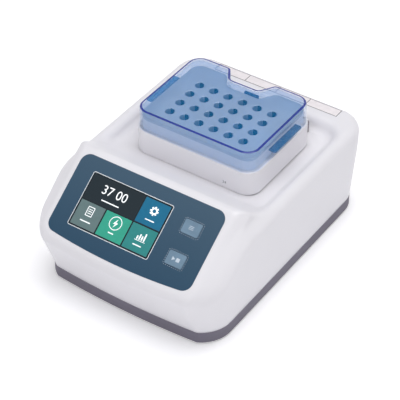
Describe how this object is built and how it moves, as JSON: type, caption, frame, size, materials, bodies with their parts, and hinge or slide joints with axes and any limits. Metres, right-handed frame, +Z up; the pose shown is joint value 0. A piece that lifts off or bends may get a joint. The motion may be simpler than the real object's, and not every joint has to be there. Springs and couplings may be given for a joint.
{
  "type": "thermal mixer",
  "caption": "Benchtop thermal mixer with a sloped touch-screen panel, a lift-out tube block under a clear lid and a belt-driven orbital platform.",
  "frame": {"origin": "middle of the machine's footprint at the level of the feet", "axes": "+X to the right seen from the front, +Y to the rear, +Z up"},
  "size_m": [0.252, 0.348, 0.171],
  "materials": {
    "base_tray": "fine moulded texture",
    "rubber_feet": "matt",
    "housing_shell": "satin moulding",
    "housing_screws": "zinc plated",
    "control_overlay": "satin printed film",
    "display_glass": "polished",
    "display_module": "pressed frame",
    "key_board": "solder mask",
    "main_board": "solder mask",
    "board_components": "moulded",
    "board_standoffs": "turned",
    "power_supply": "folded sheet",
    "drive_plate": "plated",
    "plate_pillars": "turned",
    "plate_screws": "plated",
    "motor_can": "satin",
    "spindle_housing": "machined",
    "spindle_bearings": "ground",
    "idler_housings": "machined",
    "idler_bearings": "ground",
    "drive_belt": "matt",
    "mains_inlet": "moulded",
    "switch_frame": "moulded",
    "inlet_pins": "plated",
    "fan_frame": "moulded",
    "fan_screws": "plated",
    "pin_guide": "moulded",
    "lid_catch": "moulded",
    "motor_shaft": "ground",
    "motor_pulley": "turned",
    "drive_spindle": "ground",
    "spindle_pulley": "turned",
    "counterweight": "machined",
    "idler_left": "ground",
    "idler_right": "ground",
    "idler_rear": "ground",
    "platform_bearing": "ground",
    "platform_plate": "machined",
    "heat_sink": "extruded",
    "peltier_modules": "ceramic",
    "thermal_plate": "machined",
    "locating_dowels": "ground",
    "tube_block": "anodised",
    "block_skirt": "satin moulding",
    "skirt_screws": "plated",
    "lid": "clear tinted",
    "menu_key": "printed film",
    "run_key": "printed film",
    "power_rocker": "moulded",
    "fuse_drawer": "moulded",
    "fan_impeller": "moulded",
    "release_pin": "polished"
  },
  "bodies": {
    "chassis": {"base_tray": "base_tray", "rubber_feet": "rubber_feet", "housing_shell": "housing_shell", "housing_screws": "housing_screws", "control_overlay": "control_overlay", "display_glass": "display_glass", "display_module": "display_module", "key_board": "key_board", "main_board": "main_board", "board_components": "board_components", "board_standoffs": "board_standoffs", "power_supply": "power_supply", "drive_plate": "drive_plate", "plate_pillars": "plate_pillars", "plate_screws": "plate_screws", "motor_can": "motor_can", "spindle_housing": "spindle_housing", "spindle_bearings": "spindle_bearings", "idler_housings": "idler_housings", "idler_bearings": "idler_bearings", "drive_belt": "drive_belt", "mains_inlet": "mains_inlet", "switch_frame": "switch_frame", "inlet_pins": "inlet_pins", "fan_frame": "fan_frame", "fan_screws": "fan_screws", "pin_guide": "pin_guide"},
    "spindle": {"drive_spindle": "drive_spindle", "spindle_pulley": "spindle_pulley", "counterweight": "counterweight"},
    "motor_rotor": {"motor_shaft": "motor_shaft", "motor_pulley": "motor_pulley"},
    "crank_left": {"idler_left": "idler_left"},
    "crank_right": {"idler_right": "idler_right"},
    "crank_rear": {"idler_rear": "idler_rear"},
    "platform": {"platform_bearing": "platform_bearing", "platform_plate": "platform_plate", "heat_sink": "heat_sink", "peltier_modules": "peltier_modules", "thermal_plate": "thermal_plate", "locating_dowels": "locating_dowels"},
    "block": {"tube_block": "tube_block", "block_skirt": "block_skirt", "skirt_screws": "skirt_screws", "lid_catch": "lid_catch"},
    "cover": {"lid": "lid"},
    "menu_button": {"menu_key": "menu_key"},
    "run_button": {"run_key": "run_key"},
    "rocker": {"power_rocker": "power_rocker"},
    "fuse_holder": {"fuse_drawer": "fuse_drawer"},
    "fan_rotor": {"fan_impeller": "fan_impeller"},
    "release_button": {"release_pin": "release_pin"}
  },
  "joints": [
    {"name": "spindle_spin", "type": "hinge", "parent": "chassis", "child": "spindle", "pos_m": [0, 0.044, 0.06], "axis": [0, 0, 1], "continuous": true},
    {"name": "platform_turn", "type": "hinge", "parent": "spindle", "child": "platform", "pos_m": [0.0015, 0.044, 0.075], "axis": [0, 0, 1], "continuous": true},
    {"name": "crank_left_spin", "type": "hinge", "parent": "chassis", "child": "crank_left", "pos_m": [-0.06, 0, 0.06], "axis": [0, 0, 1], "continuous": true},
    {"name": "crank_right_spin", "type": "hinge", "parent": "chassis", "child": "crank_right", "pos_m": [0.06, 0, 0.06], "axis": [0, 0, 1], "continuous": true},
    {"name": "crank_rear_spin", "type": "hinge", "parent": "chassis", "child": "crank_rear", "pos_m": [0, 0.088, 0.06], "axis": [0, 0, 1], "continuous": true},
    {"name": "motor_spin", "type": "hinge", "parent": "chassis", "child": "motor_rotor", "pos_m": [0, -0.048, 0.04], "axis": [0, 0, 1], "continuous": true},
    {"name": "block_lift", "type": "slide", "parent": "platform", "child": "block", "axis": [0, 0, 1], "range_m": [0, 0.06]},
    {"name": "lid_lift", "type": "slide", "parent": "block", "child": "cover", "axis": [0, 0, 1], "range_m": [0, 0.06]},
    {"name": "menu_press", "type": "slide", "parent": "chassis", "child": "menu_button", "axis": [0, 0.5793, -0.8151], "range_m": [0, 0.0006], "stiffness_N_per_m": 2500},
    {"name": "run_press", "type": "slide", "parent": "chassis", "child": "run_button", "axis": [0, 0.5793, -0.8151], "range_m": [0, 0.0006], "stiffness_N_per_m": 2500},
    {"name": "rocker_swing", "type": "hinge", "parent": "chassis", "child": "rocker", "pos_m": [0.068, 0.1665, 0.08], "axis": [1, 0, 0], "range_deg": [0, 16]},
    {"name": "fuse_slide", "type": "slide", "parent": "chassis", "child": "fuse_holder", "axis": [0, 1, 0], "range_m": [0, 0.022]},
    {"name": "fan_spin", "type": "hinge", "parent": "chassis", "child": "fan_rotor", "pos_m": [-0.057, 0.163, 0.083], "axis": [0, 1, 0], "continuous": true},
    {"name": "release_press", "type": "slide", "parent": "chassis", "child": "release_button", "axis": [0, 0, -1], "range_m": [0, 0.003], "stiffness_N_per_m": 800}
  ],
  "couplings": [
    {"joint": "platform_turn", "follows": "spindle_spin", "ratio": -1},
    {"joint": "crank_left_spin", "follows": "spindle_spin", "ratio": 1},
    {"joint": "crank_right_spin", "follows": "spindle_spin", "ratio": 1},
    {"joint": "crank_rear_spin", "follows": "spindle_spin", "ratio": 1},
    {"joint": "motor_spin", "follows": "spindle_spin", "ratio": 2}
  ]
}
